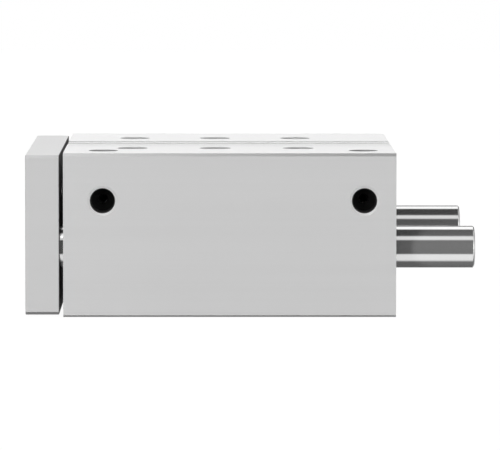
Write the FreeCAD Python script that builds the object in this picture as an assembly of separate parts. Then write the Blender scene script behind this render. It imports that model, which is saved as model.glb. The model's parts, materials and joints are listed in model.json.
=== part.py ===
import FreeCAD, Part
import math
import os

# Guided pneumatic cylinder, retracted.
# The origin is the middle of the mounting-hole grid on the base face.
# X runs along the stroke towards the rear, Y away from the port side, Z up. Millimetres.

V = FreeCAD.Vector
along_x = V(1, 0, 0)
along_y = V(0, 1, 0)
along_z = V(0, 0, 1)

# Working sizes
stroke = 100.0
bore_d = 63.0
rod_d = 20.0               # piston rod and both guide rods
running_gap = 0.05         # radial, bushes and seals on what slides through them
press_gap = 0.01           # radial, turned pieces in the bores that hold them
end_gap = 0.15             # piston to buffer at each end of the stroke

# Housing
housing_length = stroke + 58.3
housing_width = 162.0
housing_height = 78.0
front_x = -72.4
rear_x = front_x + housing_length
bore_z = housing_height / 2
top_break = 1.4            # chamfers along the four long edges
base_break = 0.9
relief_width = 28.0        # shallow step along the middle of the top face
relief_depth = 0.25
slot_mouth = 5.2           # T slot for position sensors, along the middle of the relief
slot_lip = 1.5
slot_cavity = 6.6
slot_depth = 4.4

# Mounting holes, a grid of three columns and two rows
grid_x = 40.0
grid_y = 80.0
mount_hole_d = 8.5
counterbore_d = 15.0
counterbore_depth = 8.6

# Air ports
port_d = 11.8
port_mouth_d = 14.2
side_port_z = 55.4
side_port_depth = 14.0
top_port_y = -58.8
top_port_depth = 13.0
port_from_front = 18.7
port_from_rear = 15.1
passage_d = 4.0
passage_end_y = -25.0      # inside the cylinder bore
drill_half_angle = math.radians(59)
plug_below_face = 2.0
plug_length = 8.0
plug_hex = 6.0
plug_hex_depth = 4.5

# Guide bores and bearings
guide_y = 65.0
guide_z = 32.3
guide_bore_d = 26.0
guide_bore_depth = 95.0
guide_exit_d = 22.0
guide_exit_chamfer = 1.0
wiper_length = 4.0
guide_bush_length = 34.0
bush_chamfer = 0.6

# End caps and their retaining rings, depths from the nearer end face
cap_seat_d = 64.0
ring_groove_d = 66.4
ring_thickness = 2.0
ring_groove_play = 0.15
ring_band = 3.3            # mean width of a retaining ring
ring_shift = 0.9           # its inside is off centre, so it is widest opposite its gap
ring_gap_angle = math.radians(14)
lug_angle = math.radians(22)
lug_d = 6.8
lug_hole_d = 2.5
lug_inset = 4.9
front_ring_depth = 2.4
rear_ring_depth = 2.0
front_shoulder = 15.0
rear_shoulder = 11.5
nose_d = 42.0
front_nose_depth = 22.0
rear_nose_depth = 15.0
buffer_thickness = 2.0
buffer_set_back = 1.0      # radial, from the hole that it surrounds
cap_chamfer = 0.6
cap_ring_d = 3.0           # section of the cap O-rings
cap_groove_width = 3.8
seal_pocket_d = 30.0
seal_pocket_depth = 5.0
rod_bush_d = 24.0
rod_bush_length = 11.0
cap_rod_gap = 0.4
nut_pocket_d = 30.0
nut_pocket_depth = 6.7

# Lip seals
lip_break = 0.4
lip_set = 0.9              # from the end of a seal to the edge that rubs
lip_hollow = 1.8           # depth of the groove behind a lip

# Piston
piston_gap = 0.3           # radial
piston_d = bore_d - 2 * piston_gap
land = 1.2
seal_groove_width = 3.6
seal_groove_d = 53.2
magnet_width = 5.0
magnet_d = 61.0
magnet_seat_d = 49.0
spigot_d = 14.0
piston_ring_d = 2.4        # section of the O-ring on the spigot
nut_across_flats = 21.0
nut_height = 7.0
spigot_past_nut = 1.0

# Yoke plate and what is screwed to it
yoke_gap = 2.0
yoke_thickness = 16.0
yoke_inset = 1.0           # narrower than the housing on every side
yoke_break = 1.4           # chamfers along its four edges in the direction of the stroke
yoke_outline_break = 0.2   # edges of its front and rear face
yoke_recess = 2.0          # seats for the rods in the rear of the plate
tool_hole_d = 8.5
tool_pitch_y = 80.0
tool_pitch_z = 40.0
guide_rod_past_rear = 38.0
rod_end_round = 1.0
rod_front_chamfer = 0.5
screw_in_rod = 20.0
tapped_past_screw = 4.0
head_clearance = 0.5       # radial, and head below the face of the plate
screw_chamfer = 0.8
guide_screw = dict(thread=10.0, head_d=16.0, head=7.0, hex=7.0, hex_depth=3.5)
rod_screw = dict(thread=12.0, head_d=18.0, head=8.0, hex=8.0, hex_depth=4.0)

# Places that follow from the sizes above
piston_length = 4 * land + 2 * seal_groove_width + magnet_width
piston_x = front_x + front_nose_depth + buffer_thickness + end_gap + stroke
piston_middle_x = piston_x + piston_length / 2
yoke_rear_x = front_x - yoke_gap
yoke_front_x = yoke_rear_x - yoke_thickness
rod_front_x = yoke_rear_x - yoke_recess
guide_rod_rear_x = rear_x + guide_rod_past_rear
port_face_y = -housing_width / 2
front_port_x = front_x + port_from_front
rear_port_x = rear_x - port_from_rear
sides = {"port_side": -guide_y, "far_side": guide_y}


def bar_x(d, x0, x1, y=0.0, z=bore_z):
    """Round bar along X."""
    return Part.makeCylinder(d / 2, x1 - x0, V(x0, y, z), along_x)


def tube_x(d_out, d_in, x0, x1, y=0.0, z=bore_z):
    """Plain ring or tube along X."""
    return bar_x(d_out, x0, x1, y, z).cut(bar_x(d_in, x0, x1, y, z))


def turned(profile, y=0.0, z=bore_z):
    """Turned solid about a line along X; the profile is a closed run of (x, radius) points."""
    points = [V(x, y, z + r) for x, r in profile]
    face = Part.Face(Part.makePolygon(points + points[:1]))
    return face.revolve(V(0, y, z), along_x, 360)


def extruded(section, x0, x1):
    """Prism along X; the section is a closed run of (y, z) points."""
    points = [V(x0, y, z) for y, z in section]
    face = Part.Face(Part.makePolygon(points + points[:1]))
    return face.extrude(V(x1 - x0, 0, 0))


def hex_bar(across_flats, length, start, direction):
    """Hexagonal bar with a flat facing sideways."""
    radius = across_flats / math.sqrt(3)
    turn = FreeCAD.Rotation(along_z, direction)
    angles = [i * math.pi / 3 for i in range(6)]
    points = [start + turn.multVec(V(radius * math.cos(a), radius * math.sin(a), 0)) for a in angles]
    face = Part.Face(Part.makePolygon(points + points[:1]))
    return face.extrude(direction * length)


def o_ring(section_d, seat_d, x):
    """Round-section ring that touches a seat of diameter seat_d from inside."""
    return Part.makeTorus((seat_d - section_d) / 2, section_d / 2, V(x, 0, bore_z), along_x)


def port_cutter(mouth, inward, depth):
    """Port to be cut away: chamfered mouth, tapped core and drilled tip."""
    r = port_d / 2
    mouth_r = port_mouth_d / 2
    core = Part.makeCylinder(r, depth, mouth, inward)
    chamfer = Part.makeCone(mouth_r, r, mouth_r - r, mouth, inward)
    tip = Part.makeCone(r, 0, r / math.tan(drill_half_angle), mouth + inward * depth, inward)
    return core.fuse([chamfer, tip])


def housing_section():
    """Outline of the extrusion: chamfered block, relief along the top and T slot in its floor."""
    half = housing_width / 2
    top = housing_height
    floor = top - relief_depth
    lip = floor - slot_lip
    bed = floor - slot_depth
    near = [
        (-half, top - top_break),
        (-half, base_break),
        (-half + base_break, 0),
    ]
    far = [
        (half - base_break, 0),
        (half, base_break),
        (half, top - top_break),
        (half - top_break, top),
        (relief_width / 2, top),
        (relief_width / 2, floor),
    ]
    slot = []
    for side in (1, -1):
        walk = [
            (side * slot_mouth / 2, floor),
            (side * slot_mouth / 2, lip),
            (side * slot_cavity / 2, lip),
            (side * slot_cavity / 2, bed),
        ]
        slot += walk[::side]
    close = [
        (-relief_width / 2, floor),
        (-relief_width / 2, top),
        (-half + top_break, top),
    ]
    return near + far + slot + close


def housing():
    """Extrusion bored for the cylinder and the guides, then drilled for mounting and air."""
    cuts = [
        bar_x(bore_d, front_x, rear_x),
        bar_x(cap_seat_d, front_x, front_x + front_shoulder),
        bar_x(cap_seat_d, rear_x - rear_shoulder, rear_x),
    ]
    groove = ring_thickness + ring_groove_play
    cuts.append(bar_x(ring_groove_d, front_x + front_ring_depth, front_x + front_ring_depth + groove))
    cuts.append(bar_x(ring_groove_d, rear_x - rear_ring_depth - groove, rear_x - rear_ring_depth))
    exit_mouth_r = guide_exit_d / 2 + guide_exit_chamfer
    for y in sides.values():
        cuts.append(bar_x(guide_bore_d, front_x, front_x + guide_bore_depth, y, guide_z))
        cuts.append(bar_x(guide_exit_d, front_x, rear_x, y, guide_z))
        mouth = V(rear_x, y, guide_z)
        cuts.append(Part.makeCone(exit_mouth_r, guide_exit_d / 2, guide_exit_chamfer, mouth, -along_x))
    for column in (-1, 0, 1):
        for row in (-0.5, 0.5):
            foot = V(column * grid_x, row * grid_y, 0)
            head = foot + along_z * (housing_height - counterbore_depth)
            cuts.append(Part.makeCylinder(mount_hole_d / 2, housing_height, foot, along_z))
            cuts.append(Part.makeCylinder(counterbore_d / 2, counterbore_depth, head, along_z))
    for x in (front_port_x, rear_port_x):
        side_mouth = V(x, port_face_y, side_port_z)
        top_mouth = V(x, top_port_y, housing_height)
        meeting = V(x, top_port_y, side_port_z)
        cuts.append(port_cutter(side_mouth, along_y, side_port_depth))
        cuts.append(port_cutter(top_mouth, -along_z, top_port_depth))
        run_y = passage_end_y - port_face_y - side_port_depth
        run_z = housing_height - top_port_depth - side_port_z
        start = side_mouth + along_y * side_port_depth
        cuts.append(Part.makeCylinder(passage_d / 2, run_y, start, along_y))
        cuts.append(Part.makeCylinder(passage_d / 2, run_z, meeting, along_z))
    return extruded(housing_section(), front_x, rear_x).cut(cuts)


def front_bearing_cap():
    """Turned cap with a seal pocket in front, a nose with the rod bush behind and an O-ring groove."""
    x0 = front_x + front_ring_depth + ring_thickness
    x1 = front_x + front_shoulder
    x2 = front_x + front_nose_depth
    rim = cap_seat_d / 2 - press_gap
    groove_x = front_cap_ring_x() - cap_groove_width / 2
    groove_r = cap_seat_d / 2 - cap_ring_d
    rod_hole_r = rod_d / 2 + cap_rod_gap
    return turned([
        (x0, seal_pocket_d / 2),
        (x0, rim - cap_chamfer),
        (x0 + cap_chamfer, rim),
        (groove_x, rim),
        (groove_x, groove_r),
        (groove_x + cap_groove_width, groove_r),
        (groove_x + cap_groove_width, rim),
        (x1, rim),
        (x1, nose_d / 2),
        (x2, nose_d / 2),
        (x2, rod_bush_d / 2),
        (x2 - rod_bush_length, rod_bush_d / 2),
        (x2 - rod_bush_length, rod_hole_r),
        (x0 + seal_pocket_depth, rod_hole_r),
        (x0 + seal_pocket_depth, seal_pocket_d / 2),
    ])


def front_cap_ring_x():
    """Middle of the flange of the front cap, where its O-ring lies."""
    return front_x + (front_ring_depth + ring_thickness + front_shoulder) / 2


def rear_cap_ring_x():
    """Middle of the flange of the rear cap, where its O-ring lies."""
    return rear_x - (rear_ring_depth + ring_thickness + rear_shoulder) / 2


def rear_end_cap():
    """Turned cap with an O-ring groove and a nose that is hollow for the piston nut."""
    x0 = rear_x - rear_nose_depth
    x1 = rear_x - rear_shoulder
    x2 = rear_x - rear_ring_depth - ring_thickness
    rim = cap_seat_d / 2 - press_gap
    groove_x = rear_cap_ring_x() - cap_groove_width / 2
    groove_r = cap_seat_d / 2 - cap_ring_d
    return turned([
        (x0 + nut_pocket_depth, 0),
        (x0 + nut_pocket_depth, nut_pocket_d / 2),
        (x0, nut_pocket_d / 2),
        (x0, nose_d / 2),
        (x1, nose_d / 2),
        (x1, rim),
        (groove_x, rim),
        (groove_x, groove_r),
        (groove_x + cap_groove_width, groove_r),
        (groove_x + cap_groove_width, rim),
        (x2 - cap_chamfer, rim),
        (x2, rim - cap_chamfer),
        (x2, 0),
    ])


def retaining_ring(x0):
    """Internal spring ring, widest opposite its gap, with two lugs drilled for pliers."""
    outer_r = ring_groove_d / 2
    inner_r = outer_r - ring_band
    lug_at = outer_r - lug_inset
    x1 = x0 + ring_thickness
    ring = bar_x(2 * outer_r, x0, x1).cut(bar_x(2 * inner_r, x0, x1, 0, bore_z - ring_shift))
    gap_half = outer_r * math.sin(ring_gap_angle)
    gap = Part.makeBox(ring_thickness, 2 * gap_half, outer_r, V(x0, -gap_half, bore_z - outer_r))
    ring = ring.cut(gap)
    lugs = []
    holes = []
    for side in (-1, 1):
        y = side * lug_at * math.sin(lug_angle)
        z = bore_z - lug_at * math.cos(lug_angle)
        lugs.append(bar_x(lug_d, x0, x1, y, z))
        holes.append(bar_x(lug_hole_d, x0, x1, y, z))
    return ring.fuse(lugs).cut(holes).removeSplitter()


def rod_wiper_seal():
    """Seal in the pocket of the front cap: pressure lip behind, wiper lip in front, both on the rod."""
    x0 = front_x + front_ring_depth + ring_thickness
    lip_r = rod_d / 2 + running_gap
    outer_r = seal_pocket_d / 2
    back = x0 + seal_pocket_depth
    return turned([
        (x0 + lip_break, outer_r),
        (back, outer_r),
        (back, lip_r + lip_set),
        (back - lip_set, lip_r),
        (back - 2 * lip_set, lip_r + lip_break),
        (back - seal_pocket_depth / 2, lip_r + lip_hollow),
        (x0 + lip_set, lip_r + lip_set),
        (x0, lip_r),
        (x0 - lip_break, lip_r + lip_break),
        (x0 + lip_break, lip_r + lip_hollow + lip_set),
    ])


def guide_wiper(y):
    """Wiper flush with the front face, with one lip on the guide rod."""
    lip_r = rod_d / 2 + running_gap
    outer_r = guide_bore_d / 2 - press_gap
    return turned([
        (front_x, outer_r - lip_break),
        (front_x + lip_break, outer_r),
        (front_x + wiper_length, outer_r),
        (front_x + wiper_length, lip_r + lip_set),
        (front_x + wiper_length / 2, lip_r + lip_set),
        (front_x + lip_set, lip_r),
        (front_x, lip_r + lip_set),
    ], y, guide_z)


def bush(d_out, x0, length, y=0.0, z=bore_z):
    """Plain bearing on a rod, chamfered inside at both ends."""
    r = rod_d / 2 + running_gap
    outer_r = d_out / 2 - press_gap
    x1 = x0 + length
    return turned([
        (x0, r + bush_chamfer),
        (x0, outer_r),
        (x1, outer_r),
        (x1, r + bush_chamfer),
        (x1 - bush_chamfer, r),
        (x0 + bush_chamfer, r),
    ], y, z)


def port_plug(x):
    """Screw plug in a top port, with a hexagon socket."""
    top = housing_height - plug_below_face
    start = V(x, top_port_y, top)
    body = Part.makeCylinder(port_d / 2 - press_gap, plug_length, start, -along_z)
    return body.cut(hex_bar(plug_hex, plug_hex_depth, start, -along_z))


def piston_half(front):
    """Half of the piston, with one seal groove and half of the magnet's seat."""
    depth = piston_length / 2
    rim = piston_d / 2
    hole_r = spigot_d / 2 + press_gap
    end_chamfer = land / 2
    groove_r = seal_groove_d / 2
    seat = depth - magnet_width / 2
    ring_r = spigot_d / 2 + piston_ring_d
    profile = [
        (0, hole_r),
        (0, rim - end_chamfer),
        (end_chamfer, rim),
        (land, rim),
        (land, groove_r),
        (land + seal_groove_width, groove_r),
        (land + seal_groove_width, rim),
        (seat, rim),
        (seat, magnet_seat_d / 2),
        (depth, magnet_seat_d / 2),
    ]
    if front:
        profile += [
            (depth, ring_r),
            (depth - piston_ring_d, ring_r),
            (depth - piston_ring_d, hole_r),
        ]
        return turned([(piston_x + x, r) for x, r in profile])
    profile.append((depth, hole_r))
    return turned([(piston_x + piston_length - x, r) for x, r in profile])


def piston_seal(x_lip, inward):
    """Lip seal on the piston, open towards the pressure; inward is +1 or -1 along X from its lip."""
    root = seal_groove_d / 2
    lip = bore_d / 2 - running_gap
    profile = [
        (seal_groove_width, root),
        (seal_groove_width, lip - lip_set),
        (lip_set, lip),
        (lip_break / 2, lip - lip_break),
        (lip_hollow, (root + lip) / 2),
        (lip_break / 2, root + lip_set),
        (lip_break / 2, root),
    ]
    return turned([(x_lip + inward * x, r) for x, r in profile])


def piston_rod():
    """Bar with a tapped front end and a spigot for the piston at the rear."""
    r = rod_d / 2
    tapped_r = rod_screw["thread"] / 2
    spigot_end = piston_x + piston_length + nut_height + spigot_past_nut
    bottom = rod_front_x + screw_in_rod + tapped_past_screw
    return turned([
        (rod_front_x, tapped_r),
        (rod_front_x, r - rod_front_chamfer),
        (rod_front_x + rod_front_chamfer, r),
        (piston_x, r),
        (piston_x, spigot_d / 2),
        (spigot_end - rod_front_chamfer, spigot_d / 2),
        (spigot_end, spigot_d / 2 - rod_front_chamfer),
        (spigot_end, 0),
        (bottom + tapped_r * math.tan(math.pi / 2 - drill_half_angle), 0),
        (bottom, tapped_r),
    ])


def guide_rod(y):
    """Ground bar, tapped in front and with a rounded edge at the rear."""
    r = rod_d / 2
    tapped_r = guide_screw["thread"] / 2
    bottom = rod_front_x + screw_in_rod + tapped_past_screw
    bar = turned([
        (rod_front_x, tapped_r),
        (rod_front_x, r - rod_front_chamfer),
        (rod_front_x + rod_front_chamfer, r),
        (guide_rod_rear_x, r),
        (guide_rod_rear_x, 0),
        (bottom + tapped_r * math.tan(math.pi / 2 - drill_half_angle), 0),
        (bottom, tapped_r),
    ], y, guide_z)
    rear_rim = [edge for edge in bar.Edges if edge.isClosed() and edge.CenterOfMass.x > rear_x]
    return bar.makeFillet(rod_end_round, rear_rim)


def yoke_screw(kind, y, z):
    """Low-head screw from the front of the yoke into the end of a rod."""
    x0 = yoke_front_x + head_clearance
    x1 = x0 + kind["head"]
    x2 = rod_front_x + screw_in_rod
    r = kind["thread"] / 2
    head_r = kind["head_d"] / 2
    body = turned([
        (x0, 0),
        (x0, head_r - screw_chamfer),
        (x0 + screw_chamfer, head_r),
        (x1, head_r),
        (x1, r),
        (x2 - screw_chamfer, r),
        (x2, r - screw_chamfer),
        (x2, 0),
    ], y, z)
    return body.cut(hex_bar(kind["hex"], kind["hex_depth"], V(x0, y, z), along_x))


def yoke_plate():
    """Chamfered plate with seats for the rods, counterbores for their screws and tool holes."""
    width = housing_width - 2 * yoke_inset
    height = housing_height - 2 * yoke_inset
    plate = Part.makeBox(yoke_thickness, width, height, V(yoke_front_x, -width / 2, yoke_inset))
    long_edges = [edge for edge in plate.Edges if edge.BoundBox.XLength > yoke_thickness / 2]
    plate = plate.makeChamfer(yoke_break, long_edges)
    outlines = [edge for edge in plate.Edges if edge.BoundBox.XLength < yoke_thickness / 2]
    plate = plate.makeChamfer(yoke_outline_break, outlines)
    cuts = []
    places = [(guide_screw, y, guide_z) for y in sides.values()]
    places.append((rod_screw, 0.0, bore_z))
    for kind, y, z in places:
        counterbore_x = yoke_front_x + head_clearance + kind["head"]
        counterbore = kind["head_d"] + 2 * head_clearance
        cuts.append(bar_x(counterbore, yoke_front_x, counterbore_x, y, z))
        cuts.append(bar_x(kind["thread"] + head_clearance, yoke_front_x, yoke_rear_x, y, z))
        cuts.append(bar_x(rod_d + 2 * press_gap, rod_front_x, yoke_rear_x, y, z))
    for row in (-0.5, 0.5):
        for column in (-0.5, 0.5):
            y = column * tool_pitch_y
            z = bore_z + row * tool_pitch_z
            cuts.append(bar_x(tool_hole_d, yoke_front_x, yoke_rear_x, y, z))
    return plate.cut(cuts)


def piston_nut():
    """Thin hexagon nut behind the piston."""
    start = V(piston_x + piston_length, 0, bore_z)
    nut = hex_bar(nut_across_flats, nut_height, start, along_x)
    hole = Part.makeCylinder(spigot_d / 2, nut_height, start, along_x)
    return nut.cut(hole)


def save(name, shape):
    """One closed solid to one file."""
    solid = shape.Solids[0]
    if len(shape.Solids) != 1 or not solid.isValid():
        raise ValueError(f"{name} is not one valid solid")
    if solid.Volume < 0:
        solid.reverse()
    solid.exportStep(f"parts/{name}.step")


os.makedirs("parts", exist_ok=True)

front_cap_x = front_x + front_ring_depth + ring_thickness
front_nose_x = front_x + front_nose_depth
rear_nose_x = rear_x - rear_nose_depth
rear_ring_x = rear_x - rear_ring_depth - ring_thickness

save("housing", housing())
save("front_bearing_cap", front_bearing_cap())
save("rod_bush", bush(rod_bush_d, front_nose_x - rod_bush_length, rod_bush_length))
save("rod_wiper_seal", rod_wiper_seal())
save("front_cap_o_ring", o_ring(cap_ring_d, cap_seat_d, front_cap_ring_x()))
save("front_retaining_ring", retaining_ring(front_cap_x - ring_thickness))
front_buffer_hole_d = rod_bush_d + 2 * buffer_set_back
save("front_buffer", tube_x(nose_d, front_buffer_hole_d, front_nose_x, front_nose_x + buffer_thickness))
save("rear_end_cap", rear_end_cap())
save("rear_cap_o_ring", o_ring(cap_ring_d, cap_seat_d, rear_cap_ring_x()))
save("rear_retaining_ring", retaining_ring(rear_ring_x))
rear_buffer_hole_d = nut_pocket_d + 2 * buffer_set_back
save("rear_buffer", tube_x(nose_d, rear_buffer_hole_d, rear_nose_x - buffer_thickness, rear_nose_x))
save("port_plug_front", port_plug(front_port_x))
save("port_plug_rear", port_plug(rear_port_x))

front_bush_x = front_x + wiper_length
rear_bush_x = front_x + guide_bore_depth - guide_bush_length
for side, y in sides.items():
    save(f"guide_wiper_{side}", guide_wiper(y))
    save(f"guide_bush_front_{side}", bush(guide_bore_d, front_bush_x, guide_bush_length, y, guide_z))
    save(f"guide_bush_rear_{side}", bush(guide_bore_d, rear_bush_x, guide_bush_length, y, guide_z))
    save(f"guide_rod_{side}", guide_rod(y))
    save(f"guide_rod_screw_{side}", yoke_screw(guide_screw, y, guide_z))

save("yoke_plate", yoke_plate())
save("piston_rod", piston_rod())
save("piston_rod_screw", yoke_screw(rod_screw, 0.0, bore_z))
save("piston_front_half", piston_half(True))
save("piston_rear_half", piston_half(False))
magnet_x = piston_middle_x - magnet_width / 2
save("piston_magnet_ring", tube_x(magnet_d, magnet_seat_d, magnet_x, magnet_x + magnet_width))
save("piston_seal_front", piston_seal(piston_x + land, 1))
save("piston_seal_rear", piston_seal(piston_x + piston_length - land, -1))
save("piston_o_ring", o_ring(piston_ring_d, spigot_d + 2 * piston_ring_d, piston_middle_x - piston_ring_d / 2))
save("piston_nut", piston_nut())
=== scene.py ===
import json
import math
import bpy
import numpy as np
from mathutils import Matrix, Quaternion, Vector


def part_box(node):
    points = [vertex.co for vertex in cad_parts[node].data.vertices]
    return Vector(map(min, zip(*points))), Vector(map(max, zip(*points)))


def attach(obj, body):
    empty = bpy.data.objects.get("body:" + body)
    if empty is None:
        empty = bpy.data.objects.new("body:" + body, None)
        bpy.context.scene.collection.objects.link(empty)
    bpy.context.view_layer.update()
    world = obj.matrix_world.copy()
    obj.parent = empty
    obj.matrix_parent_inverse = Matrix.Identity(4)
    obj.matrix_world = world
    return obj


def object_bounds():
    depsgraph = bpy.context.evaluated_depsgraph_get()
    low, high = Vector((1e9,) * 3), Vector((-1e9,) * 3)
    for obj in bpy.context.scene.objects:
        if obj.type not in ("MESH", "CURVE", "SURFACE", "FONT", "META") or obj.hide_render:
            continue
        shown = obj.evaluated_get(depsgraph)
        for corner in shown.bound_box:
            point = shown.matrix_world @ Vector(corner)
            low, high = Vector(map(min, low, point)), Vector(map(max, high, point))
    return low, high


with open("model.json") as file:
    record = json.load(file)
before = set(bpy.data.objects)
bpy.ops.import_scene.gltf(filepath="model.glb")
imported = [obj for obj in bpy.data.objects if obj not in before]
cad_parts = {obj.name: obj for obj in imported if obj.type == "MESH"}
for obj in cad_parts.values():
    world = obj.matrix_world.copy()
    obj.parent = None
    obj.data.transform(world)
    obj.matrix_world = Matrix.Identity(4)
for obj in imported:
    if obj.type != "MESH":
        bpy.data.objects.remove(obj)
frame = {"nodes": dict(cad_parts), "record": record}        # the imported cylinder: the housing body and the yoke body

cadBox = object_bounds()
scene = bpy.context.scene
cadNodes = frame["nodes"]
mountNamed = {mount["name"]: mount for mount in frame["record"]["mounts"]}
housingLow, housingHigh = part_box("housing")
yokeLow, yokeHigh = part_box("yoke_plate")
portMouths = {}          # middle of each open port on the near face
for end in ("front", "rear"):
    portX, _, portZ = mountNamed["port_" + end]["pos_m"]
    portMouths[end] = (portX, housingLow.y, portZ)
print("frame loaded:", len(cadNodes), "pieces")


# half the spacing of a mount's grid of holes along its two axes, in metres
def halfGrid(mountName):
    dims = mountNamed[mountName]["dims"]
    return dims["spacing_x_mm"] / 2000, dims["spacing_y_mm"] / 2000


# One shader socket. Arithmetic on it adds Math nodes, and node() adds any other kind of node.
class Wire:
    def __init__(self, tree, socket=None):
        self.tree = tree
        self.socket = socket

    def node(self, kind, settings=None, inputs=None, out=0):
        made = self.tree.nodes.new("ShaderNode" + kind)
        for name, value in (settings or {}).items():
            if name == "stops":
                fillRamp(made.color_ramp, value)
            else:
                setattr(made, name, value)
        for name, value in (inputs or {}).items():
            if isinstance(value, Wire):
                self.tree.links.new(value.socket, made.inputs[name])
            else:
                made.inputs[name].default_value = value
        return Wire(self.tree, made.outputs[out])

    def math(self, operation, *others):
        return self.node("Math", {"operation": operation}, dict(enumerate((self, *others))))

    def __add__(self, other):
        return self.math("ADD", other)

    def __sub__(self, other):
        return self.math("SUBTRACT", other)

    def __rsub__(self, other):
        return self.node("Math", {"operation": "SUBTRACT"}, {0: other, 1: self})

    def __mul__(self, other):
        return self.math("MULTIPLY", other)

    __radd__ = __add__
    __rmul__ = __mul__

    # 0 below low, 1 above high, eased between
    def rise(self, low, high):
        return self.node("MapRange", {"interpolation_type": "SMOOTHSTEP"},
                         {"Value": self, "From Min": low, "From Max": high})

    # colour a where the wire is 0, colour b where it is 1
    def between(self, a, b):
        return self.node("Mix", {"data_type": "RGBA"}, {0: self, 6: a, 7: b}, out=2)    # its colour sockets

    def into(self, socket):
        self.tree.links.new(self.socket, socket)


def grey(level):
    return (level, level, level, 1)


# a colour made lighter or darker by a factor
def shade(colour, factor):
    return tuple(channel * factor for channel in colour[:3]) + (1,)


def fillRamp(ramp, stops):
    while len(ramp.elements) < len(stops):
        ramp.elements.new(0.5)
    for element, (position, level) in zip(ramp.elements, stops):
        element.position = position
        element.color = grey(level)


def newMaterial(name, constants):
    material = bpy.data.materials.new(name)
    material.use_nodes = True
    shader = material.node_tree.nodes["Principled BSDF"]
    for socket, value in constants.items():
        shader.inputs[socket].default_value = value
    return material, Wire(material.node_tree), shader


# x, y and z of a vector
def split(vector):
    outputs = vector.node("SeparateXYZ", None, {0: vector}).socket.node.outputs
    return [Wire(vector.tree, outputs[axis]) for axis in "XYZ"]


# x, y and z of a point in the shared frame
def coordinates(wire):
    return split(wire.node("TexCoord", out="Object"))


# noise at so many cells per metre along each axis
def grain(wire, cells, detail=2.0):
    place = wire.node("TexCoord", out="Object")
    stretched = wire.node("VectorMath", {"operation": "MULTIPLY"}, {0: place, 1: cells})
    return wire.node("TexNoise", None, {"Vector": stretched, "Scale": 1.0, "Detail": detail})


def bump(wire, height, depth, shader):
    raised = wire.node("Bump", None, {"Strength": 1.0, "Distance": depth, "Height": height})
    raised.into(shader.inputs["Normal"])


drawnSurface = {                         # what housing and yoke share
    "lineCells": (4, 1400, 1400),        # lines drawn along the stroke
    "lineHeight": 0.5,                   # beside a grain of height 1
    "cloudCells": (14, 14, 14),
    "cloudTone": 0.03,
    "cloudMetal": 0.02,
    "grainCells": (2600, 2600, 2600),    # blasted before the oxide
    "grainSheen": 0.06,
    "grainDepth": 0.000006,
}
housingLook = {
    "colour": grey(0.84),
    "metallic": 0.90,
    "roughness": 0.36,
    "lineTone": 0.026,    # share by which the drawn lines vary the tone
    "lineSheen": 0.06,    # and by how much the roughness
}
yokeLook = {
    "colour": grey(0.76),
    "metallic": 0.95,
    "roughness": 0.40,
    "lineTone": 0.02,
    "lineSheen": 0.10,
}
# what differs from the drawn surface: a band along the top, the walls of slot and screw holes, the ports; the slot's
# walls and the side ports' chamfers hold painted light, the port bores and the top ports' chamfers painted shade
housingZones = {
    "band": dict(near=-0.027, far=0.014, ease=0.003, rougher=0.035),
    # painted light: the slot's walls under its mouth are near white and barely metallic, as if well lit
    "slot": dict(half=0.0034, depth=0.0044, colour=grey(0.98), metallic=0.1, roughness=0.5),
    "screwHole": dict(radius=0.0076, colour=grey(0.82), metallic=0.8, roughness=0.4),
    # painted shade: the bores of both ports are near black, as if unlit deep inside
    "shadedPortCore": dict(colour=grey(0.04), metallic=0.9, roughness=0.5),
    # painted light: the chamfers round the side ports are near white and barely metallic, to look lit
    "sideCone": dict(colour=grey(0.95), metallic=0.1, roughness=0.4),
    # painted shade: the chamfers round the top ports are darker grey, to look shaded
    "shadedTopCone": dict(colour=grey(0.46), metallic=0.9, roughness=0.6),
}
# the yoke's rear face, in the narrow gap to the housing, is painted dark as shade, and made rougher and less metallic
yokeZones = {"shadedRearFace": dict(colour=grey(0.28), metallic=0.6, roughness=0.95)}
portShape = {"radius": 0.0059, "mouth": 0.0071, "chamfer": 0.0012, "depth": 0.0180}
fade = 0.00005           # half the width over which the edge of a zone fades
skin = 0.0003            # how deep the zone of the top face reaches, and where the slot's walls begin


# 1 between low and high, 0 outside, eased at each end
def within(value, low, high, ease=fade):
    return value.rise(low - ease, low + ease) * (1 - value.rise(high - ease, high + ease))


# 1 inside a circle about the zero of a and b, falling to 0 between two radii
def disc(a, b, full, gone):
    return 1 - (a * a + b * b).math("SQRT").rise(full, gone)


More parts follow.
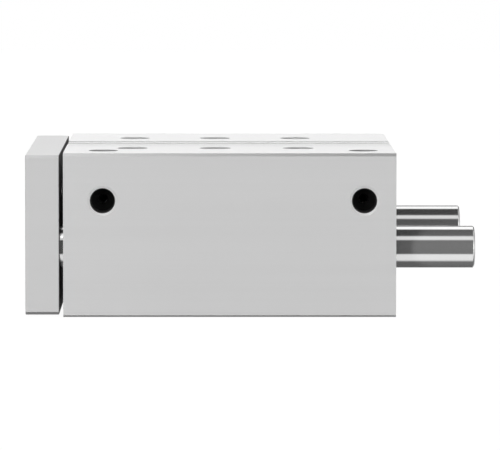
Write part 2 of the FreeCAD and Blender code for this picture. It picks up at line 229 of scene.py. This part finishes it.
# masks on the housing, each 1 in its zone
def housingMasks(wire):
    x, y, z = coordinates(wire)
    top = housingHigh.z
    band = housingZones["band"]
    slot = housingZones["slot"]
    hole = housingZones["screwHole"]["radius"]
    # distance to the nearest of the three columns of screw holes, and of the two rows
    columnX, rowY = halfGrid("base_bolts")
    besideX = (x.math("ABSOLUTE") - columnX / 2).math("ABSOLUTE") - columnX / 2
    besideY = y.math("ABSOLUTE") - rowY
    onTop = z.rise(top - skin - 2 * fade, top - skin)
    belowTop = 1 - z.rise(top - 2 * fade, top - fade)
    aboveBase = z.rise(fade, 2 * fade)
    masks = {
        "band": within(y, band["near"], band["far"], band["ease"]) * onTop,
        "slot": within(y, -slot["half"], slot["half"]) * within(z, top - slot["depth"], top - skin),
        "shadedPortCore": 0.0,
        "sideCone": 0.0,
        "shadedTopCone": 0.0,
        "screwHole": disc(besideX, besideY, hole, hole + 2 * fade) * belowTop * aboveBase,
    }
    wall = portShape["radius"] + fade
    mouth = portShape["mouth"] + fade
    coneFoot = portShape["chamfer"] - 2 * fade
    for end, (portX, portY, portZ) in portMouths.items():
        sideways = x - portX
        upward = z - portZ
        coreDepth = within(y - portY, coneFoot, portShape["depth"])
        coneDepth = within(y - portY, fade, coneFoot)
        masks["shadedPortCore"] += coreDepth * disc(sideways, upward, wall, mouth)
        masks["sideCone"] += coneDepth * disc(sideways, upward, mouth, mouth + 2 * fade)
        # the port in the top face is where its plug is
        plugLow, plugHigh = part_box("port_plug_" + end)
        besidePlug = y - (plugLow.y + plugHigh.y) / 2
        topDepth = within(top - z, fade, portShape["chamfer"] + 2 * fade)
        masks["shadedTopCone"] += topDepth * disc(sideways, besidePlug, mouth, mouth + 2 * fade)
    return masks


# 1 on the side of the yoke that faces the housing, where the painted shade goes
def yokeMasks(wire):
    x = coordinates(wire)[0]
    return {"shadedRearFace": x.rise(yokeHigh.x - 2 * fade, yokeHigh.x - fade)}


endMilling = {            # marks of the face cutter on both ends
    "radius": 0.0630,
    "feed": 0.0011,
    "height": 0.45,
    "sheen": 0.03,
    "facing": (0.90, 0.98),   # part of the normal along X at which a face counts as an end
}


# 1 on the faces that look along the stroke
def endFaces(wire):
    alongX = split(wire.node("NewGeometry", out="True Normal"))[0]
    return alongX.math("ABSOLUTE").rise(*endMilling["facing"])


# arcs of the cutter's radius, one for each step of its feed along Y
def cutterArcs(wire):
    y, z = coordinates(wire)[1:]
    aboveMiddle = z - housingHigh.z / 2
    sweep = (endMilling["radius"] ** 2 - aboveMiddle * aboveMiddle).math("SQRT")
    return ((y - sweep) * (2 * math.pi / endMilling["feed"])).math("SINE")


# Drawn lines along the stroke, cutter arcs on the ends, faint clouds and a blasted grain under the oxide.
# Each zone with a mask takes its own colour, share of metal and roughness instead, or is only made rougher.
def drawnAluminium(name, look, zones, masksOf):
    material, wire, shader = newMaterial(name, {})
    lines = grain(wire, drawnSurface["lineCells"], detail=3.0)
    clouds = grain(wire, drawnSurface["cloudCells"])
    speckle = grain(wire, drawnSurface["grainCells"], detail=1.0)
    arcs = cutterArcs(wire) * endFaces(wire)
    # tone 0.5 is the plain colour, 0 half of it and 1 half as much again
    tone = (lines - 0.5) * look["lineTone"] + (clouds - 0.5) * drawnSurface["cloudTone"] + 0.5
    colour = tone.between(shade(look["colour"], 0.5), shade(look["colour"], 1.5))
    metal = (clouds - 0.5) * drawnSurface["cloudMetal"] + look["metallic"]
    rough = look["roughness"] + (lines - 0.5) * look["lineSheen"]
    rough = rough + (speckle - 0.5) * drawnSurface["grainSheen"] + arcs * endMilling["sheen"]
    for zone, mask in masksOf(wire).items():
        own = zones[zone]
        if "rougher" in own:
            rough = rough + mask * own["rougher"]
        else:
            colour = mask.between(colour, own["colour"])
            metal = metal + mask * (own["metallic"] - metal)
            rough = rough + mask * (own["roughness"] - rough)
    colour.into(shader.inputs["Base Color"])
    metal.into(shader.inputs["Metallic"])
    rough.into(shader.inputs["Roughness"])
    height = speckle + lines * drawnSurface["lineHeight"] + arcs * endMilling["height"]
    bump(wire, height, drawnSurface["grainDepth"], shader)
    return material


rodLook = {
    "colour": grey(0.62),
    "metallic": 0.85,
    "roughness": 0.10,
    "ringCells": (5200, 30, 30),   # fine rings left by grinding
    "ringSheen": 0.05,
    "ringDepth": 0.0000008,
    "wipeCells": (24, 60, 60),     # faint wiping marks
    "wipeSheen": 0.03,
    "rim": 0.0011,                 # length of the rounded rim at the free end
    # painted highlight: the colour of the rim
    "rimHighlight": grey(0.95),
}


# ground bar: fine rings round its length, and a rim at the free end painted near white as a highlight
def groundSteel(name, look):
    material, wire, shader = newMaterial(name, {"Metallic": look["metallic"]})
    x = coordinates(wire)[0]
    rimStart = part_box("guide_rod_port_side")[1].x - look["rim"]
    rim = x.rise(rimStart, rimStart + 2 * fade)
    rim.between(look["colour"], look["rimHighlight"]).into(shader.inputs["Base Color"])
    rings = grain(wire, look["ringCells"])
    wipe = grain(wire, look["wipeCells"])
    rough = look["roughness"] + (rings - 0.5) * look["ringSheen"] + (wipe - 0.5) * look["wipeSheen"]
    rough.into(shader.inputs["Roughness"])
    bump(wire, rings, look["ringDepth"], shader)
    return material


turnedLook = {
    "colour": grey(0.72),
    "roughness": 0.32,
    "ringPitch": 0.0007,
    "ringSheen": 0.05,
    "ringDepth": 0.000009,
    "patchCells": (120, 120, 120),
    "patchTone": 0.05,
}


# concentric tool marks about the cylinder's own axis
def turnedAluminium(name, look):
    material, wire, shader = newMaterial(name, {"Metallic": 1.0})
    capLow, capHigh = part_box("rear_end_cap")
    y, z = coordinates(wire)[1:]
    aboveAxis = z - (capLow.z + capHigh.z) / 2
    radius = (y * y + aboveAxis * aboveAxis).math("SQRT")
    marks = (radius * (2 * math.pi / look["ringPitch"])).math("SINE")
    dark = shade(look["colour"], 1 - look["patchTone"])
    light = shade(look["colour"], 1 + look["patchTone"])
    grain(wire, look["patchCells"]).between(dark, light).into(shader.inputs["Base Color"])
    (look["roughness"] + marks * look["ringSheen"]).into(shader.inputs["Roughness"])
    bump(wire, marks, look["ringDepth"], shader)
    return material


mottledFinishes = {
    # painted shade: the threads inside the ports are near black, as if unlit deep in the bore
    "shadedPortInside": dict(dark=grey(0.03), light=grey(0.06), metallic=0.6, roughness=0.55,
                       cells=900, depth=0.000010),
    "cutThread": dict(dark=grey(0.46), light=grey(0.60), metallic=1.0, roughness=0.30,
                      cells=1200, depth=0.000004),
    "spring_steel": dict(dark=grey(0.05), light=grey(0.10), metallic=1.0, roughness=0.42,
                         cells=900, depth=0.000004),
    "black_screw": dict(dark=grey(0.025), light=grey(0.05), metallic=1.0, roughness=0.38,
                        cells=1500, depth=0.000004),
    "plated_nut": dict(dark=grey(0.50), light=grey(0.62), metallic=1.0, roughness=0.30,
                       cells=700, depth=0.000002),
    "plated_plug": dict(dark=grey(0.50), light=grey(0.58), metallic=1.0, roughness=0.30,
                        cells=500, depth=0.0000015),
    "nitrile_rubber": dict(dark=grey(0.010), light=grey(0.022), metallic=0.0, roughness=0.60,
                           cells=1800, depth=0.000010),
    "buffer_polyurethane": dict(dark=grey(0.02), light=grey(0.04), metallic=0.0, roughness=0.45,
                                cells=1200, depth=0.000010),
    "magnet_strip": dict(dark=grey(0.03), light=grey(0.06), metallic=0.0, roughness=0.70,
                         cells=1600, depth=0.000010),
    "bearing_bronze": dict(dark=(0.30, 0.18, 0.07, 1), light=(0.48, 0.31, 0.13, 1),
                           metallic=1.0, roughness=0.45, cells=1500, depth=0.000006),
    "seal_polyurethane": dict(dark=(0.03, 0.10, 0.06, 1), light=(0.05, 0.15, 0.09, 1),
                              metallic=0.0, roughness=0.4, cells=1500, depth=0.000006),
}
mottleSheen = 0.2         # how far the mottle varies the roughness


# a mottled surface between two colours, for small pieces
def mottled(name, look):
    material, wire, shader = newMaterial(name, {"Metallic": look["metallic"]})
    spots = grain(wire, (look["cells"],) * 3, detail=3.0)
    spots.between(look["dark"], look["light"]).into(shader.inputs["Base Color"])
    (look["roughness"] + (spots - 0.5) * mottleSheen).into(shader.inputs["Roughness"])
    bump(wire, spots, look["depth"], shader)
    return material


finishes = {
    "housing_aluminium": drawnAluminium("housingAluminium", housingLook, housingZones, housingMasks),
    "yoke_aluminium": drawnAluminium("yokeAluminium", yokeLook, yokeZones, yokeMasks),
    "ground_steel": groundSteel("groundSteel", rodLook),
    "turned_aluminium": turnedAluminium("turnedAluminium", turnedLook),
}
for finishName, finishLook in mottledFinishes.items():
    finishes[finishName] = mottled(finishName, finishLook)

for part in frame["record"]["subparts"]:
    mesh = cadNodes[part["node"]].data
    mesh.materials.clear()
    mesh.materials.append(finishes[part["material_slot"]])
print("finishes:", len(finishes))


# A grid of points as a mesh of quads, closed both ways: point [i, j] is joined to [i + 1, j] and [i, j + 1],
# and the last row and column to the first. Faces are turned outwards by the sign of the enclosed volume.
def closedGrid(name, points, material):
    rows, columns = points.shape[:2]
    index = np.arange(rows * columns).reshape(rows, columns)
    down = np.roll(index, -1, axis=0)
    corners = [index, down, np.roll(down, -1, axis=1), np.roll(index, -1, axis=1)]
    quads = np.stack(corners, axis=-1).reshape(-1, 4)
    flat = points.reshape(-1, 3)
    a, b, c, d = (flat[quads[:, k]] for k in range(4))
    volume = (np.cross(b - a, c - a) * a).sum() + (np.cross(c - a, d - a) * a).sum()
    if volume < 0:
        quads = quads[:, ::-1]
    mesh = bpy.data.meshes.new(name)
    mesh.vertices.add(len(flat))
    mesh.loops.add(quads.size)
    mesh.polygons.add(len(quads))
    mesh.vertices.foreach_set("co", flat.ravel())
    mesh.loops.foreach_set("vertex_index", quads.ravel())
    mesh.polygons.foreach_set("loop_start", np.arange(0, quads.size, 4))
    mesh.polygons.foreach_set("use_smooth", np.ones(len(quads), bool))
    mesh.update(calc_edges=True)
    mesh.validate()
    mesh.materials.append(material)
    piece = bpy.data.objects.new(name, mesh)
    scene.collection.objects.link(piece)
    return piece


sleeveGrid = {
    "backing": 0.00012,   # how far the sleeve's back lies in the metal
    "perTurn": 10,        # rows of points on each turn of the thread
    "around": 72,
    "runOut": 1.5,        # turns over which the thread fades at each end
}
portThread = {
    "radius": portShape["radius"],
    "from": portShape["chamfer"],
    "pitch": 0.001337,
    "depth": 0.00052,
    "length": 0.0118,
}
boltThread = {"radius": 0.00425, "from": 0.0005, "pitch": 0.0015, "depth": 0.00042}
toolThread = {**boltThread, "length": 0.0150}
baseThread = {**boltThread, "length": 0.0195}


# Thread in a drilled hole, as a thin sleeve on its wall. Along the hole t and round it a, the inside has
# the radius wall - depth * ridge(t / pitch - a / turn), where ridge is a rounded wave that fades out at both
# ends; the outside is a plain cylinder just under the wall.
def threadSleeve(name, look, mouth, inward, material, body):
    turns = look["length"] / look["pitch"]
    rows = int(turns * sleeveGrid["perTurn"])
    t = np.linspace(0, 1, rows)[:, None]
    a = np.linspace(0, 2 * np.pi, sleeveGrid["around"], endpoint=False)[None, :]
    wave = 0.5 + 0.5 * np.cos(2 * np.pi * t * turns - a)
    ridge = wave * wave * (3 - 2 * wave)
    fading = np.clip(np.minimum(t, 1 - t) * turns / sleeveGrid["runOut"], 0, 1)
    inside = look["radius"] - look["depth"] * ridge * fading
    outside = np.full_like(inside, look["radius"] + sleeveGrid["backing"])
    radius = np.concatenate([inside, outside[::-1]])
    along = np.concatenate([t, t[::-1]]) * look["length"] + look["from"]
    axis = np.array(inward, float)
    across = np.roll(axis, 1)
    third = np.cross(axis, across)
    points = (np.array(mouth) + along[..., None] * axis + (radius * np.cos(a))[..., None] * across
              + (radius * np.sin(a))[..., None] * third)
    piece = closedGrid(name, points, material)
    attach(piece, body)


for end, mouth in portMouths.items():
    threadSleeve("port_thread_" + end, portThread, mouth, (0, 1, 0),
                 finishes["shadedPortInside"], "housing")
bothSides = (("port_side", -1), ("far_side", 1))
yokeMiddleZ = mountNamed["yoke_bolts"]["pos_m"][2]
yokeHalfY, yokeHalfZ = halfGrid("yoke_bolts")
for level, up in (("lower", -1), ("upper", 1)):
    for side, outward in bothSides:
        mouth = (yokeLow.x, outward * yokeHalfY, yokeMiddleZ + up * yokeHalfZ)
        threadSleeve(f"tool_thread_{level}_{side}", toolThread, mouth, (1, 0, 0),
                     finishes["cutThread"], "yoke")
baseHalfX, baseHalfY = halfGrid("base_bolts")
for column, backward in (("front", -1), ("middle", 0), ("rear", 1)):
    for side, outward in bothSides:
        mouth = (backward * baseHalfX, outward * baseHalfY, housingLow.z)
        threadSleeve(f"base_thread_{column}_{side}", baseThread, mouth, (0, 0, 1),
                     finishes["cutThread"], "housing")
print("threads cut")


# photograph's view: a long lens, a little above the near face
cameraPlace = {
    "lens": 325.1,
    "sensor": 36.0,
    "target": (0.01637, -0.081, 0.04396),
    "distance": 2.1444,
    "yaw": math.radians(0.557),
    "pitch": math.radians(4.545),
    "roll": math.radians(0.046),
    "clipEnd": 100,
}


def addCamera(place):
    data = bpy.data.cameras.new("photoView")
    data.lens = place["lens"]
    data.sensor_width = place["sensor"]
    data.clip_end = place["clipEnd"]
    forward = Vector((math.sin(place["yaw"]) * math.cos(place["pitch"]),
                      math.cos(place["yaw"]) * math.cos(place["pitch"]),
                      -math.sin(place["pitch"])))
    camera = bpy.data.objects.new("photoView", data)
    camera.location = Vector(place["target"]) - forward * place["distance"]
    level = forward.to_track_quat("-Z", "Y")
    camera.rotation_euler = (level @ Quaternion((0, 0, 1), place["roll"])).to_euler()
    scene.collection.objects.link(camera)
    scene.camera = camera


addCamera(cameraPlace)

# light tent: brightness by the angle round the X axis, 0 towards the camera, 90 overhead, 180 behind
tent = {
    "strip": [            # straight across the stroke, where the rods mirror it
        (-180, 0.9), (-172, 0.3), (-150, 0.15), (-88, 0.15), (-74, 1.25), (-41, 1.25), (-34, 0.09),
        (38, 0.09), (46, 1.20), (60, 1.20), (69, 0.02), (111, 0.02), (121, 1.7), (142, 1.7), (148, 0.8),
        (156, 0.3), (168, 0.3), (173, 3.14), (180, 3.14),
    ],
    "left": [
        (-180, 0.5), (-120, 0.0), (-75, 0.0), (-42, 1.02), (-12, 1.85), (18, 1.85), (30, 0.75), (60, 0.3),
        (90, 0.10), (110, 0.2), (180, 0.6),
    ],
    "right": [
        (-180, 1.1), (-150, 0.9), (-120, 0.0), (-75, 0.0), (-42, 0.72), (-12, 1.40), (18, 1.40), (30, 0.75),
        (60, 0.3), (90, 0.7), (110, 0.25), (148, 0.05), (160, 0.05), (172, 1.1), (180, 1.1),
    ],
    "ends": [             # towards both ends of the stroke
        (-180, 0.7), (-135, 0.5), (-90, 0.25), (-45, 0.6), (0, 0.75), (60, 0.5), (90, 0.3), (135, 0.3),
        (180, 0.7),
    ],
    "stripEdge": (0.08, 0.22),    # x of a direction over which the strip gives way to the sides
    "endEdge": (0.34, 0.60),      # and the sides to the ends
    "middle": (-0.1, 0.1),        # where left becomes right
    "brightest": 3.3,
    "background": 1.0,
}


def addTent(look):
    world = bpy.data.worlds.new("lightTent")
    scene.world = world
    world.use_nodes = True
    wire = Wire(world.node_tree)
    x, y, z = split(wire.node("TexCoord", out="Generated"))
    turn = z.math("ARCTAN2", y * -1.0) * (0.5 / math.pi) + 0.5      # 0 at -180 degrees, 1 at 180
    levels = {}
    for side in ("strip", "left", "right", "ends"):
        stops = [((degrees + 180) / 360, level / look["brightest"]) for degrees, level in look[side]]
        levels[side] = turn.node("ValToRGB", {"stops": stops}, {0: turn}) * look["brightest"]
    aside = x.math("ABSOLUTE").rise(*look["stripEdge"])
    endward = x.math("ABSOLUTE").rise(*look["endEdge"])
    rightward = x.rise(*look["middle"])
    sides = levels["left"] * (1 - rightward) + levels["right"] * rightward
    sides = sides * (1 - endward) + levels["ends"] * endward
    level = levels["strip"] * (1 - aside) + sides * aside
    seen = wire.node("LightPath", out="Is Camera Ray")
    background = world.node_tree.nodes["Background"]
    (level * (1 - seen) + seen * look["background"]).into(background.inputs["Strength"])
    background.inputs["Color"].default_value = grey(1.0)


addTent(tent)

floorLook = {"size": 6.0, "drop": 0.0002, "colour": grey(0.06), "roughness": 0.9, "glow": 0.95}


# one square just under the base of the housing
def addFloor(look):
    half = look["size"] / 2
    mesh = bpy.data.meshes.new("floor")
    corners = [(-half, -half, 0), (half, -half, 0), (half, half, 0), (-half, half, 0)]
    mesh.from_pydata(corners, [], [(0, 1, 2, 3)])
    floor = bpy.data.objects.new("floor", mesh)
    floor.location.z = cadBox[0].z - look["drop"]
    floor.visible_glossy = False
    floor.visible_diffuse = False
    scene.collection.objects.link(floor)
    constants = {
        "Base Color": look["colour"],
        "Roughness": look["roughness"],
        "Emission Color": grey(1.0),
        "Emission Strength": look["glow"],
    }
    mesh.materials.append(newMaterial("paleFloor", constants)[0])


addFloor(floorLook)

# a large light overhead, a little to the left and in front
keyLight = {"place": (-0.24, -0.34, 0.80), "aim": (0.0, -0.08, 0.06), "size": 0.5, "watts": 1.25}
# a smaller one far to the left, kept to the guide rods, whose near ends stand in the shade of the housing
sideLight = {"place": (-1.10, -0.98, 0.03), "aim": (0.1, -0.08, 0.03), "size": 0.3, "watts": 45.0,
             "lit": ("guide_rod_port_side", "guide_rod_far_side")}


def addLight(name, look):
    data = bpy.data.lights.new(name, "AREA")
    data.energy = look["watts"]
    data.size = look["size"]
    light = bpy.data.objects.new(name, data)
    light.location = look["place"]
    toward = Vector(look["aim"]) - Vector(look["place"])
    light.rotation_euler = toward.to_track_quat("-Z", "Y").to_euler()
    light.visible_camera = False
    scene.collection.objects.link(light)
    if "lit" in look:
        lit = bpy.data.collections.new(name + "Reach")
        for node in look["lit"]:
            lit.objects.link(cadNodes[node])
        light.light_linking.receiver_collection = lit


addLight("keyLight", keyLight)
addLight("sideLight", sideLight)
scene.view_settings.view_transform = "Standard"
print("camera, tent, floor and lights placed")
